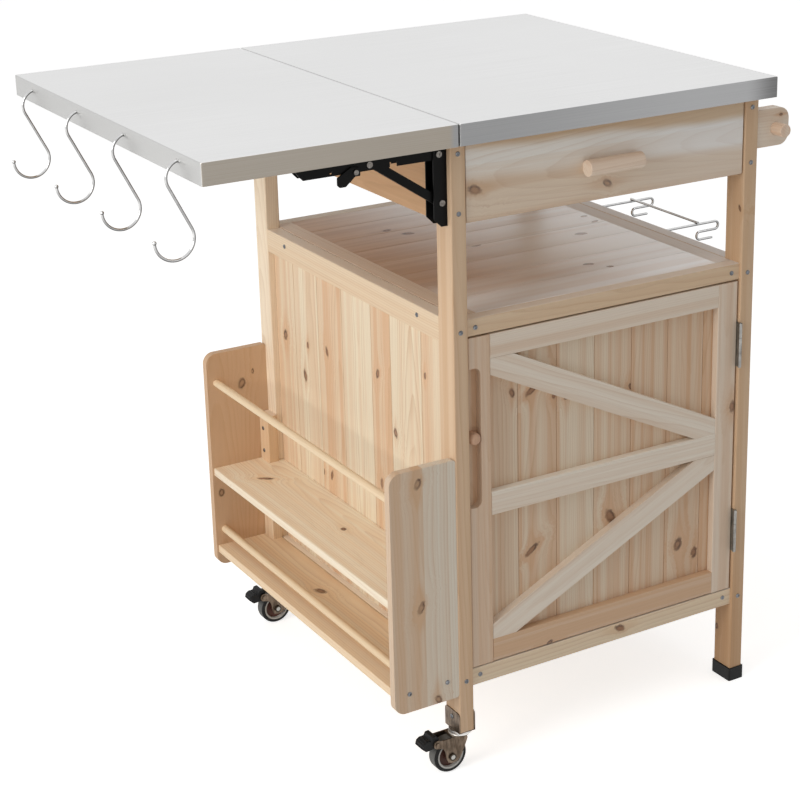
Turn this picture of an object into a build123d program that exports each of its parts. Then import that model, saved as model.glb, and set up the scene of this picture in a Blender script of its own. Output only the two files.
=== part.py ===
from build123d import *
from math import acos, atan2, cos, degrees, hypot, radians, sin
import os

# Grill cart: a wooden cabinet on two feet and two casters, with a steel top and a folding steel leaf.
# Sizes in mm. While modelling, x runs right from the left legs' outer face, y runs back from the
# front legs' front face and z runs up from the floor. save() moves all to the shared origin.

# Carcass
CART_W = 484.0
CART_D = 564.0
LEG_W = 22.0
LEG_D = 37.0
RAIL_T = 20.0
RAIL_RECESS = 1.0
FRONT_RECESS = 4.0
PLANK_T = 10.0
PLANK_RECESS = 10.0
PLANK_PITCH = 62.5
SIDE_PLANKS = (69.0, 90.0, 58.0, 92.0, 80.0, 80.0, 66.0)
PLANK_GAP = 0.4
EASE = 1.5

# Heights
TOP_Z = 900.0
TOP_T = 28.0
APRON_LOW = TOP_Z - 135.0
SHELF_Z = 640.0
SHELF_T = 12.0
RAIL_LOW = SHELF_Z - 34.0
FLOOR_Z = 148.0
FLOOR_LOW = FLOOR_Z - 25.0
DOOR_GAP = 2.5
DOOR_TOP = SHELF_Z - 23.0 - DOOR_GAP
DOOR_LOW = FLOOR_Z + 2.0
LEFT_LEG_LOW = 60.0

# Steel top and leaf
SHEET = 1.0
OVERHANG_Y = 23.5
TOP_LEFT = 1.0
TOP_RIGHT = CART_W + 12.0
LEAF_LEFT = -338.0
LEAF_RIGHT = -0.5

# S-hooks, seen from the front
HOOK_END = 44.0
HOOK_STEP = 160.5
HOOK_YS = (HOOK_END, HOOK_END + HOOK_STEP, CART_D - HOOK_END - HOOK_STEP, CART_D - HOOK_END)
HOOK_WIRE = 3.6
HOOK_BEAD = 2.6
HOOK_UP_IN = 6.0
HOOK_UP_DROP = 31.0
HOOK_UP_R = 20.8
HOOK_LOW_OUT = 9.0
HOOK_LOW_DROP = 104.0
HOOK_LOW_R = 25.0
HOOK_UPPER = (LEAF_LEFT + HOOK_UP_IN, TOP_Z - HOOK_UP_DROP, HOOK_UP_R)
HOOK_LOWER = (LEAF_LEFT - HOOK_LOW_OUT, TOP_Z - HOOK_LOW_DROP, HOOK_LOW_R)
HOOK_START = 17.0
HOOK_PLAY = 0.45
HOOK_POCKET = 34.0

# Folding bracket, front one; the rear one is its mirror image
BR_Y0 = 8.5
BR_W = 20.0
BR_T = 1.5
BR_PIVOT = (-11.0, TOP_Z - TOP_T - 14.0)
BR_STRUT_LOW = (-7.5, BR_PIVOT[1] - 62.0)
BR_STRUT_UP = (-100.0, BR_PIVOT[1])
BR_ARM_END = -207.0
BR_ARM_LOW = BR_PIVOT[1] - 7.0
BR_PLATE_LOW = BR_PIVOT[1] - 92.0
BR_PLATE_TOP = BR_PIVOT[1] + 10.0
BR_LEVER = (-126.0, BR_PIVOT[1] - 6.0)
PIN_CLEAR = 0.05

# Drawer
DRAWER_GAP = 2.0
DRAWER_T = 16.0
DRAWER_LOW = APRON_LOW + 1.0
DRAWER_TOP = TOP_Z - TOP_T - 4.0
DRAWER_BACK = CART_D - 90.0
RUNNER_TOP = APRON_LOW + 11.0
HANDLE_L = 86.0
HANDLE_D = 22.0
HANDLE_Z = DRAWER_LOW + 47.0

# Door
DOOR_T = 12.0
STILE_W = 33.0
DOOR_RAIL_H = 33.0
BRACE_RUN = 36.0
BRACE_RISE = 22.0
MID_Z = (DOOR_LOW + DOOR_TOP) / 2 - 2.25
CUT_LOW = MID_Z
CUT_HIGH = DOOR_TOP - 41.5
CUT_DEPTH = 18.0
KNOB_Z = (CUT_LOW + CUT_HIGH) / 2 - 0.5
KNOB_R = 8.5
DOOR_PLANKS = (76.0, 61.0, 61.0, 61.0, 61.0, 61.0, 43.0)
HINGE_AXIS = (CART_W - LEG_W - 1.0, -3.0)
HINGE_ZS = (DOOR_LOW + 92.0, DOOR_TOP - 91.5)
HINGE_H = 64.0

# Spice rack
RACK_X = -98.0
RACK_T = 12.0
RACK_LOW = 115.0
RACK_TOP = 456.0
RACK_SET = 1.0
RACK_SHELF_X = -95.0
RACK_UPPER_Z = 275.0
RACK_LOWER_Z = 148.0
RACK_DOWEL_D = 11.0
RACK_DOWEL_X = -83.0
RACK_DOWEL_ZS = (410.0, 173.0)

# Right side
TOWEL_ARM_END = CART_W + 55.0
TOWEL_ARM_T = 18.0
TOWEL_ARM_Z = (TOP_Z - 102.0, TOP_Z - 50.0)
TOWEL_D = 18.0
TOWEL_DOWEL = (CART_W + 32.0, TOP_Z - 78.0, TOWEL_D)
BAG_Y = 214.5
BAG_W = 161.5
BAG_YS = (BAG_Y, BAG_Y + BAG_W)
BAG_Z = SHELF_Z - 8.0
BAG_END = CART_W + 108.0
BAG_WIRE = 4.0

# Casters and feet
CASTER_X = LEG_W / 2
CASTER_YS = (LEG_D / 2, CART_D - LEG_D / 2)
WHEEL_X = -10.0
WHEEL_R = 25.0
WHEEL_W = 18.0
RIM_R = 20.0
RIM_T = 2.5
FORK_IN = 11.0
FORK_T = 2.0
PEDAL_PIVOT = (-32.0, 49.5)
FOOT_H = 20.0
FOOT_T = 2.0

TOP_LOW = TOP_Z - TOP_T
ORIGIN_X = (HOOK_LOWER[0] - HOOK_LOWER[2] - HOOK_BEAD + BAG_END + BAG_WIRE / 2) / 2
ORIGIN_Y = CART_D / 2


def block(x0, x1, y0, y1, z0, z1):
    return Pos((x0 + x1) / 2, (y0 + y1) / 2, (z0 + z1) / 2) * Box(x1 - x0, y1 - y0, z1 - z0)


def board(x0, x1, y0, y1, z0, z1, ease=EASE):
    """A sawn board with its four long edges eased."""
    runs = {Axis.X: x1 - x0, Axis.Y: y1 - y0, Axis.Z: z1 - z0}
    grain = max(runs, key=runs.get)
    return fillet(block(x0, x1, y0, y1, z0, z1).edges().filter_by(grain), ease)


def rod_x(y, z, r, x0, x1):
    return Pos((x0 + x1) / 2, y, z) * Rot(0, 90, 0) * Cylinder(r, x1 - x0)


def rod_y(x, z, r, y0, y1):
    return Pos(x, (y0 + y1) / 2, z) * Rot(90, 0, 0) * Cylinder(r, y1 - y0)


def rod_z(x, y, r, z0, z1):
    return Pos(x, y, (z0 + z1) / 2) * Cylinder(r, z1 - z0)


def slab_xz(sketch, y0, y1):
    """Extrudes a sketch drawn in x, z from y0 to y1."""
    plane = Plane(origin=(0, y0, 0), x_dir=(1, 0, 0), z_dir=(0, -1, 0))
    return extrude(plane * sketch, amount=-(y1 - y0))


def outline(points):
    return make_face(Polyline(*points, close=True))


def rear(shape):
    """The mirror image about the cart's middle plane, front to back."""
    return mirror(shape, about=Plane(origin=(0, CART_D / 2, 0), z_dir=(0, 1, 0)))


def equal(low, high, pitch):
    """Plank widths that fill a span evenly."""
    return [1.0] * max(1, round((high - low) / pitch))


def planks(low, high, widths, make):
    """Planks between two limits in proportion to their widths: make(a, b) returns one plank from a to b."""
    scale = (high - low) / sum(widths)
    boards = []
    at = low
    for w in widths:
        boards.append(make(at + PLANK_GAP / 2, at + w * scale - PLANK_GAP / 2))
        at += w * scale
    return boards


SCREW_R = 3.2
SCREW_H = 1.0


def screw(x, y, z, face, r=SCREW_R, h=SCREW_H):
    """A screw head lying on a face that looks along -x, +x or -y."""
    turn = {"-y": Rot(90, 0, 0), "-x": Rot(0, -90, 0), "+x": Rot(0, 90, 0), "+y": Rot(-90, 0, 0)}[face]
    head = Cylinder(r, h, align=(Align.CENTER, Align.CENTER, Align.MIN))
    head = fillet(head.edges().sort_by(Axis.Z)[-1], h * 0.6)
    cross = Box(r * 1.2, r * 0.3, h) + Box(r * 0.3, r * 1.2, h)
    return Pos(x, y, z) * turn * (head - Pos(0, 0, h) * cross)


os.makedirs("parts", exist_ok=True)


def save(name, shapes):
    solids = []
    for shape in shapes:
        solids += list((Pos(-ORIGIN_X, -ORIGIN_Y, 0) * shape).solids())
    export_step(Compound(solids) if len(solids) > 1 else solids[0], f"parts/{name}.step")


# Legs: the left pair stands on casters, the right pair in foot caps
FOOT_FLOOR = 3.0


def leg(x, y, low):
    return board(x, x + LEG_W, y, y + LEG_D, low, TOP_LOW, 2.0)


RIGHT_X = CART_W - LEG_W
REAR_Y = CART_D - LEG_D
save("legs", [leg(0, 0, LEFT_LEG_LOW), leg(0, REAR_Y, LEFT_LEG_LOW),
              leg(RIGHT_X, 0, FOOT_FLOOR), leg(RIGHT_X, REAR_Y, FOOT_FLOOR)])


def foot(y):
    t = FOOT_T
    cap = block(RIGHT_X - t, CART_W + t, y - t, y + LEG_D + t, 0, FOOT_H)
    cap = fillet(cap.edges().filter_by(Axis.Z), 2.5)
    cap = fillet(cap.faces().sort_by(Axis.Z)[-1].edges(), 0.8)
    return cap - block(RIGHT_X, CART_W, y, y + LEG_D, FOOT_FLOOR, FOOT_H + 1)


save("foot_caps", [foot(0), foot(REAR_Y)])

# Aprons under the top: left, right and back
APRON_T = 16.0
APRON_SET = 2.0
AP_IN_L = APRON_SET + APRON_T
AP_IN_R = CART_W - APRON_SET - APRON_T
save("aprons", [
    board(APRON_SET, AP_IN_L, LEG_D, REAR_Y, APRON_LOW, TOP_LOW),
    board(AP_IN_R, CART_W - APRON_SET, LEG_D, REAR_Y, APRON_LOW, TOP_LOW),
    board(LEG_W, RIGHT_X, CART_D - APRON_SET - APRON_T, CART_D - APRON_SET, APRON_LOW, TOP_LOW)])

# Drawer runners on the side aprons
RUNNER_W = 24.0
RUNNER_H = 10.0
save("drawer_runners", [
    board(AP_IN_L, AP_IN_L + RUNNER_W, LEG_D, REAR_Y, RUNNER_TOP - RUNNER_H, RUNNER_TOP, 1.0),
    board(AP_IN_R - RUNNER_W, AP_IN_R, LEG_D, REAR_Y, RUNNER_TOP - RUNNER_H, RUNNER_TOP, 1.0)])

# Front rails under the shelf and under the door
FR0 = FRONT_RECESS
FR1 = FRONT_RECESS + RAIL_T
save("front_rails", [
    board(LEG_W, RIGHT_X, FR0, FR1, DOOR_TOP + DOOR_GAP, SHELF_Z),
    board(LEG_W, RIGHT_X, FR0, FR1, FLOOR_LOW, FLOOR_Z)])

# Side and back rails, top and bottom; the right top rail has two bores for the bag holder
RL0 = RAIL_RECESS
RL1 = RAIL_RECESS + RAIL_T
right_top = board(CART_W - RL1, CART_W - RL0, LEG_D, REAR_Y, RAIL_LOW, SHELF_Z)
for y in BAG_YS:
    right_top -= rod_x(y, BAG_Z, BAG_WIRE / 2 + 0.1, CART_W - RL1 + 5, CART_W)
save("side_rails", [
    board(RL0, RL1, LEG_D, REAR_Y, RAIL_LOW, SHELF_Z),
    board(RL0, RL1, LEG_D, REAR_Y, FLOOR_LOW, FLOOR_Z),
    right_top,
    board(CART_W - RL1, CART_W - RL0, LEG_D, REAR_Y, FLOOR_LOW, FLOOR_Z)])
BACK0 = CART_D - RL1
BACK1 = CART_D - RL0
save("back_rails", [
    board(LEG_W, RIGHT_X, BACK0, BACK1, RAIL_LOW, SHELF_Z),
    board(LEG_W, RIGHT_X, BACK0, BACK1, FLOOR_LOW, FLOOR_Z)])

# Panels of upright matched planks between the rails
PL0 = PLANK_RECESS
PL1 = PLANK_RECESS + PLANK_T
save("left_planks", planks(LEG_D, REAR_Y, SIDE_PLANKS,
                           lambda a, b: board(PL0, PL1, a, b, FLOOR_Z, RAIL_LOW, 0.8)))
save("right_planks", planks(LEG_D, REAR_Y, SIDE_PLANKS,
                            lambda a, b: board(CART_W - PL1, CART_W - PL0, a, b, FLOOR_Z, RAIL_LOW, 0.8)))
save("back_planks", planks(LEG_W, RIGHT_X, equal(LEG_W, RIGHT_X, PLANK_PITCH),
                           lambda a, b: board(a, b, CART_D - PL1, CART_D - PL0, FLOOR_Z, RAIL_LOW, 0.8)))

# Open shelf: planks along x between two end strips
STRIP_W = 26.0
SHELF_PITCH = 65.0
SH0 = LEG_W + 0.2
SH1 = RIGHT_X - 0.2
save("shelf_end_strips", [
    board(SH0, SH0 + STRIP_W, FR1, BACK0, SHELF_Z - SHELF_T, SHELF_Z, 0.8),
    board(SH1 - STRIP_W, SH1, FR1, BACK0, SHELF_Z - SHELF_T, SHELF_Z, 0.8)])
SP0 = SH0 + STRIP_W
SP1 = SH1 - STRIP_W
save("shelf_planks", planks(FR1, BACK0, equal(FR1, BACK0, SHELF_PITCH),
                            lambda a, b: board(SP0, SP1, a, b, SHELF_Z - SHELF_T, SHELF_Z, 0.8)))

# Cabinet floor: planks along y between the front and back rails
save("floor_planks", planks(SH0, SH1, equal(SH0, SH1, PLANK_PITCH),
                            lambda a, b: board(a, b, FR1, BACK0, FLOOR_Z - SHELF_T, FLOOR_Z, 0.8)))


# Steel top and leaf: folded sheet over a wooden core board
def tray(x0, x1):
    y0 = -OVERHANG_Y
    y1 = CART_D + OVERHANG_Y
    out = block(x0, x1, y0, y1, TOP_LOW, TOP_Z)
    out = fillet(out.edges().filter_by(Axis.Z), 2.5)
    out = fillet(out.faces().sort_by(Axis.Z)[-1].edges(), 1.6)
    room = block(x0 + SHEET, x1 - SHEET, y0 + SHEET, y1 - SHEET, TOP_LOW - 1, TOP_Z - SHEET)
    room = fillet(room.edges().filter_by(Axis.Z), 1.5)
    return out - room


def core(x0, x1):
    gap = SHEET + 0.8
    return block(x0 + gap, x1 - gap, gap - OVERHANG_Y, CART_D + OVERHANG_Y - gap, TOP_LOW, TOP_Z - SHEET)


save("top_sheet", [tray(TOP_LEFT, TOP_RIGHT)])
save("top_core", [core(TOP_LEFT, TOP_RIGHT)])
leaf_sheet = tray(LEAF_LEFT, LEAF_RIGHT)
leaf_core = core(LEAF_LEFT, LEAF_RIGHT)
hook_x, hook_z, hook_r = HOOK_UPPER
HOLE_Z = hook_z + (hook_r**2 - (LEAF_LEFT + SHEET / 2 - hook_x)**2)**0.5
for y in HOOK_YS:
    leaf_sheet -= rod_x(y, HOLE_Z, HOOK_WIRE / 2 + HOOK_PLAY, LEAF_LEFT - 1, LEAF_LEFT + 3)
    leaf_core -= block(LEAF_LEFT, LEAF_LEFT + HOOK_POCKET, y - 6, y + 6, TOP_LOW - 1, TOP_Z - 6)
save("leaf_sheet", [leaf_sheet])
save("leaf_core", [leaf_core])


# S-hooks hung in the four holes of the leaf's end
def polar(circle, angle, y):
    x, z, r = circle
    return (x + r * cos(radians(angle)), y, z + r * sin(radians(angle)))


def bend(circle, start, end, y):
    return ThreePointArc(polar(circle, start, y), polar(circle, (start + end) / 2, y), polar(circle, end, y))


def wire(edges, r):
    path = Wire(edges)
    return sweep(Plane(origin=path @ 0, z_dir=path % 0) * Circle(r), path=path)


def hook(y):
    dx = HOOK_LOWER[0] - HOOK_UPPER[0]
    dz = HOOK_LOWER[1] - HOOK_UPPER[1]
    base = degrees(atan2(dz, dx)) % 360
    off = degrees(acos((HOOK_UPPER[2] + HOOK_LOWER[2]) / hypot(dx, dz)))
    leave = base - off
    land = leave - 180
    upper = bend(HOOK_UPPER, HOOK_START, leave, y)
    lower = bend(HOOK_LOWER, land, -180, y)
    shank = Line(polar(HOOK_UPPER, leave, y), polar(HOOK_LOWER, land, y))
    body = wire([upper, shank, lower], HOOK_WIRE / 2)
    body += Pos(*polar(HOOK_LOWER, -180, y)) * Sphere(HOOK_BEAD)
    return body + Pos(*polar(HOOK_UPPER, HOOK_START, y)) * Sphere(HOOK_WIRE / 2 + 0.02)


for i, y in enumerate(HOOK_YS):
    save(f"hook_{i + 1}", [hook(y)])

# Folding brackets: wall plate on the leg, arm under the leaf, strut, release lever and rivets
BR_Y1 = BR_Y0 + BR_W
PX, PZ = BR_PIVOT
QX, QZ = BR_STRUT_LOW
SX, SZ = BR_STRUT_UP
LX, LZ = BR_LEVER
PIN_R = 2.5

flange = outline([(-19, BR_PLATE_TOP - 4), (-15, BR_PLATE_TOP), (0, BR_PLATE_TOP), (0, BR_PLATE_LOW),
                  (-9, BR_PLATE_LOW), (-19, BR_PLATE_LOW + 10)])
wall_plate = slab_xz(flange, BR_Y0, BR_Y1)
wall_plate -= block(-30, -BR_T, BR_Y0 + BR_T, BR_Y1 - BR_T, BR_PLATE_LOW - 1, BR_PLATE_TOP + 1)
for x, z in (BR_PIVOT, BR_STRUT_LOW):
    wall_plate -= rod_y(x, z, PIN_R + PIN_CLEAR, BR_Y0 - 1, BR_Y1 + 1)
save("bracket_wall_plates", [wall_plate, rear(wall_plate)])

ARM_Y0 = BR_Y0 + BR_T + 0.5
ARM_Y1 = BR_Y1 - BR_T - 0.5
side = outline([(BR_ARM_END, TOP_LOW), (BR_ARM_END, TOP_LOW - 7), (BR_ARM_END + 7, BR_ARM_LOW + 5),
                (BR_ARM_END + 12, BR_ARM_LOW), (PX, BR_ARM_LOW), (PX + 7, PZ), (PX + 7, TOP_LOW)])
side += Pos(PX, PZ) * Circle(7)
arm = slab_xz(side, ARM_Y0, ARM_Y1)
arm -= block(BR_ARM_END - 1, 0, ARM_Y0 + BR_T, ARM_Y1 - BR_T, BR_ARM_LOW - 5, TOP_LOW - BR_T)
arm -= rod_y(PX, PZ, PIN_R + PIN_CLEAR, BR_Y0, BR_Y1)
arm -= block(PX - 67, PX - 57, BR_Y0, BR_Y1, BR_ARM_LOW - 1, BR_ARM_LOW + 6)
arm -= rod_y(-158, BR_ARM_LOW + 4, 1.6, BR_Y0, BR_Y1)
save("bracket_arms", [arm, rear(arm)])

STRUT_Y0 = ARM_Y0 + BR_T + 0.8
STRUT_Y1 = ARM_Y1 - BR_T - 0.8
STRUT_R = 5.5
reach = hypot(SX - QX, SZ - QZ)
tilt = degrees(atan2(SZ - QZ, QX - SX))
bar = slab_xz(Rectangle(reach, 2 * STRUT_R) + Pos(-reach / 2, 0) * Circle(STRUT_R)
              + Pos(reach / 2, 0) * Circle(STRUT_R), STRUT_Y0, STRUT_Y1)
bar -= block(-reach, reach, STRUT_Y0 + BR_T, STRUT_Y1 - BR_T, -STRUT_R + BR_T, STRUT_R + 1)
bar -= rod_y(reach / 2, 0, PIN_R + PIN_CLEAR, BR_Y0, BR_Y1)
strut = Pos((QX + SX) / 2, 0, (QZ + SZ) / 2) * Rot(0, tilt, 0) * bar
save("strut_front", [strut])
save("strut_rear", [rear(strut)])

LEVER_Y1 = ARM_Y0 - 0.6
LEVER_Y0 = LEVER_Y1 - 2.0
paddle = outline([(LX + 6, LZ + 5), (LX - 6, LZ + 7), (LX - 25, LZ - 4), (LX - 25, LZ - 13),
                  (LX - 22, LZ - 16), (LX - 14, LZ - 16), (LX - 1, LZ - 5), (LX + 6, LZ - 5)])
lever = slab_xz(paddle, LEVER_Y0, LEVER_Y1)
lever = fillet(lever.edges().filter_by(Axis.Y), 1.5)
lever -= rod_y(LX, LZ, 2.0 + PIN_CLEAR, LEVER_Y0 - 1, LEVER_Y1 + 1)
save("release_lever_front", [lever])
save("release_lever_rear", [rear(lever)])


def rivet(x, z, r, y0, y1, head=1.3):
    """A rivet through y0 to y1 with a dimpled head at each end."""
    pin = rod_y(x, z, r, y0 - head, y1 + head)
    pin += rod_y(x, z, r * 1.6, y0 - head, y0) + rod_y(x, z, r * 1.6, y1, y1 + head)
    return pin - rod_y(x, z, r / 2, y0 - head - 1, y0 - head + 0.8) - rod_y(x, z, r / 2, y1 + head - 0.8, y1 + 9)


plate_pins = [rivet(x, z, PIN_R, BR_Y0, BR_Y1) for x, z in (BR_PIVOT, BR_STRUT_LOW)]
save("bracket_pins", plate_pins + [rear(p) for p in plate_pins])
lever_pin = rod_y(LX, LZ, 2.0, LEVER_Y0 - 0.3, ARM_Y0) + rod_y(LX, LZ, 3.3, LEVER_Y0 - 1.6, LEVER_Y0 - 0.3)
stop_rivet = rod_y(SX - 6, SZ, 4.0, ARM_Y0 - 1.2, ARM_Y0)
arm_rivets = [lever_pin, stop_rivet]
save("arm_rivets", arm_rivets + [rear(r) for r in arm_rivets])

# Drawer: front, sides with back, bottom and dowel handle
D0 = LEG_W + DRAWER_GAP
D1 = RIGHT_X - DRAWER_GAP
DF0 = 3.0
DF1 = DF0 + DRAWER_T
front = fillet(block(D0, D1, DF0, DF1, DRAWER_LOW, DRAWER_TOP).edges().filter_by(Axis.X), 2.5)
save("drawer_front", [front])
BOX_T = 12.0
BX0 = LEG_W + 1.5
BX1 = RIGHT_X - 1.5
BOX_LOW = RUNNER_TOP + 0.4
BOX_DROP = 18.0
BOX_TOP = DRAWER_TOP - BOX_DROP
PLY = 5.0
sides = [board(BX0, BX0 + BOX_T, DF1, DRAWER_BACK, BOX_LOW, BOX_TOP, 1.0),
         board(BX1 - BOX_T, BX1, DF1, DRAWER_BACK, BOX_LOW, BOX_TOP, 1.0),
         board(BX0 + BOX_T, BX1 - BOX_T, DRAWER_BACK - BOX_T, DRAWER_BACK, BOX_LOW, BOX_TOP, 1.0)]
save("drawer_box", sides)
PLY_LOW = BOX_LOW + 6.0
save("drawer_bottom", [block(BX0 + BOX_T, BX1 - BOX_T, DF1, DRAWER_BACK - BOX_T, PLY_LOW, PLY_LOW + PLY)])
HANDLE_X = CART_W / 2 - HANDLE_L / 2
handle = rod_x(DF0 - HANDLE_D / 2 + 1.5, HANDLE_Z, HANDLE_D / 2, HANDLE_X, HANDLE_X + HANDLE_L)
handle = fillet(handle.edges().filter_by(GeomType.CIRCLE), 1.2)
save("drawer_handle", [handle - block(0, CART_W, DF0, DF0 + HANDLE_D, HANDLE_Z - HANDLE_D, HANDLE_Z + HANDLE_D)])

# Door: frame boards and braces in front, planks behind, knob in the finger cut-out
E0 = LEG_W + DRAWER_GAP
E1 = RIGHT_X - DRAWER_GAP
F0 = FRONT_RECESS
F1 = FRONT_RECESS + DOOR_T
IN0 = E0 + STILE_W
IN1 = E1 - STILE_W
finger = block(E0 - 5, E0 + CUT_DEPTH, F0 - 5, F1 + 5, CUT_LOW, CUT_HIGH)
finger = fillet(finger.edges().filter_by(Axis.Y), 9.5)
left_stile = board(E0, IN0, F0, F1, DOOR_LOW, DOOR_TOP) - finger
right_stile = board(IN1, E1, F0, F1, DOOR_LOW, DOOR_TOP)
save("door_stiles", [left_stile, right_stile])
RAIL_LOWS = (DOOR_LOW, MID_Z - DOOR_RAIL_H / 2, DOOR_TOP - DOOR_RAIL_H)
save("door_rails", [board(IN0, IN1, F0, F1, z, z + DOOR_RAIL_H) for z in RAIL_LOWS])


# Braces run from the outer corners of the two bays to the right end of the middle rail
BAY_LOW = (RAIL_LOWS[0] + DOOR_RAIL_H, RAIL_LOWS[1])
BAY_HIGH = (RAIL_LOWS[1] + DOOR_RAIL_H, RAIL_LOWS[2])


def brace(corner, middle):
    """A diagonal board from the left end at height corner to the right end at height middle."""
    up = BRACE_RISE if middle > corner else -BRACE_RISE
    shape = outline([(IN0, corner), (IN0 + BRACE_RUN, corner), (IN1, middle - up), (IN1, middle),
                     (IN1 - BRACE_RUN, middle), (IN0, corner + up)])
    return slab_xz(shape, F0 + 0.5, F1)


save("door_braces", [brace(BAY_LOW[0], BAY_LOW[1]), brace(BAY_HIGH[1], BAY_HIGH[0])])
DP0 = F1
DP1 = F1 + PLANK_T
PLANK_IN = 6.0
DOOR_P0 = E0 + PLANK_IN
DOOR_P1 = E1 - PLANK_IN
save("door_planks", planks(DOOR_P0, DOOR_P1, DOOR_PLANKS,
                           lambda a, b: board(a, b, DP0, DP1, DOOR_LOW + PLANK_IN, DOOR_TOP - PLANK_IN, 0.8)))
knob = rod_y(E0 + CUT_DEPTH / 2, KNOB_Z, KNOB_R, 1.0, F1)
knob = fillet(knob.edges().sort_by(Axis.Y)[0], 6.0)
save("door_knob", [knob])

# Door hinges: one leaf with two knuckles and the pin on the leg, one leaf with a knuckle on the door
HX, HY = HINGE_AXIS
LEAF_T = 0.8
LEAF_Y = 15.0
KNUCKLE_R = 2.6
HPIN_R = 1.25
KNUCKLE_H = HINGE_H / 3


def hinge_leaf(z, x0, x1, spans, others):
    """A hinge leaf between x0 and x1 with knuckles on the given spans of its height."""
    leaf = block(x0, x1, HY, LEAF_Y, z - HINGE_H / 2, z + HINGE_H / 2)
    for a, b in spans:
        leaf += rod_z(HX, HY, KNUCKLE_R, z + a, z + b)
    for a, b in others:
        leaf -= block(HX - 5, HX + 5, HY - 5, HY + KNUCKLE_R + 0.4, z + a - 0.2, z + b + 0.2)
    return leaf - rod_z(HX, HY, HPIN_R + PIN_CLEAR, z - HINGE_H, z + HINGE_H)


MID_SPAN = [(-KNUCKLE_H / 2 + 0.2, KNUCKLE_H / 2 - 0.2)]
END_SPANS = [(-HINGE_H / 2, -KNUCKLE_H / 2 - 0.2), (KNUCKLE_H / 2 + 0.2, HINGE_H / 2)]
save("hinge_leg_leaves", [hinge_leaf(z, RIGHT_X - LEAF_T, RIGHT_X, END_SPANS, MID_SPAN) for z in HINGE_ZS])
save("hinge_door_leaves", [hinge_leaf(z, E1, E1 + LEAF_T, MID_SPAN, END_SPANS) for z in HINGE_ZS])
save("hinge_pins", [rod_z(HX, HY, HPIN_R, z - HINGE_H / 2 - 1, z + HINGE_H / 2 + 1) for z in HINGE_ZS])

# Magnetic catch: block on the front left leg's inner face, strike plate on the door's back
CATCH_DROP = 74.5
CATCH_W = 26.0
CATCH_H = 40.0
CATCH_T = 11.2
STRIKE_W = 14.0
STRIKE_H = 32.0
STRIKE_T = 1.2
STRIKE_GAP = 0.6
CATCH_Z = DOOR_TOP - CATCH_DROP
CATCH_Y = DP1 + STRIKE_T + STRIKE_GAP
STRIKE_X = LEG_W + CATCH_W - 2.0
save("door_catch", [block(LEG_W, LEG_W + CATCH_W, CATCH_Y, CATCH_Y + CATCH_T,
                          CATCH_Z - CATCH_H / 2, CATCH_Z + CATCH_H / 2)])
save("catch_plate", [block(STRIKE_X - STRIKE_W, STRIKE_X, DP1, DP1 + STRIKE_T,
                           CATCH_Z - STRIKE_H / 2, CATCH_Z + STRIKE_H / 2)])

# Spice rack on the left side: end boards, shelves, dowels and corner cleats
RB0 = RACK_SET
RB1 = RACK_SET + RACK_T


def rack_end():
    end = block(RACK_X, 0, RB0, RB1, RACK_LOW, RACK_TOP)
    outer = end.edges().filter_by(Axis.Y).group_by(Axis.X)[0]
    end = fillet(outer, 16.0)
    inner = end.edges().filter_by(Axis.Y).group_by(Axis.X)[-1]
    end = fillet(inner, 4.0)
    for z in RACK_DOWEL_ZS:
        end -= rod_y(RACK_DOWEL_X, z, RACK_DOWEL_D / 2 + 0.1, RB1 - 6, RB1 + 1)
    return end


save("rack_ends", [rack_end(), rear(rack_end())])
RS0 = RB1
RS1 = CART_D - RB1
upper_shelf = board(RACK_SHELF_X, -0.2, RS0, RS1, RACK_UPPER_Z - SHELF_T, RACK_UPPER_Z)
upper_shelf += block(-5, PLANK_RECESS - 0.5, LEG_D + 0.5, REAR_Y - 0.5, RACK_UPPER_Z - SHELF_T, RACK_UPPER_Z)
lower_shelf = board(RACK_SHELF_X, -0.2, RS0, RS1, RACK_LOWER_Z - SHELF_T, RACK_LOWER_Z)
save("rack_shelves", [upper_shelf, lower_shelf])
DOWEL_IN = RB1 - 5.8
save("rack_dowels", [rod_y(RACK_DOWEL_X, z, RACK_DOWEL_D / 2, DOWEL_IN, CART_D - DOWEL_IN) for z in RACK_DOWEL_ZS])
CLEAT_X = 16.0
CLEAT_Y = 28.0
CLEAT_H = 75.0
cleats = [board(-CLEAT_X, 0, RB1, RB1 + CLEAT_Y, z, z + CLEAT_H) for z in (RACK_UPPER_Z, RACK_LOWER_Z)]
save("rack_cleats", cleats + [rear(c) for c in cleats])

# Towel bar: two arms on the right legs with a dowel through them
TX, TZ, TD = TOWEL_DOWEL
ARM_SET = 2.0


def towel_arm():
    arm = block(CART_W, TOWEL_ARM_END, ARM_SET, ARM_SET + TOWEL_ARM_T, *TOWEL_ARM_Z)
    arm = fillet(arm.edges().filter_by(Axis.Y).group_by(Axis.X)[-1], 16.0)
    arm -= rod_y(TX, TZ, TD / 2 + 0.1, 0, ARM_SET + 2 * TOWEL_ARM_T)
    return fillet(arm.faces().sort_by(Axis.Y)[0].outer_wire().edges(), 1.0)


save("towel_arms", [towel_arm(), rear(towel_arm())])
towel_dowel = rod_y(TX, TZ, TD / 2, -19, CART_D + 19)
save("towel_dowel", [fillet(towel_dowel.edges().filter_by(GeomType.CIRCLE), 1.0)])

# Bag holder: two wire arms in the right top rail with hairpin ends, joined by a cross wire
BAG_R = BAG_WIRE / 2
BEND_R = 6.0
BAG_TURN = BAG_END - BEND_R
BAG_BACK = BAG_END - 34.0
BAG_TIP = BAG_END - 12.0
BAG_CROSS_X = BAG_END - 40.0


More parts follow.
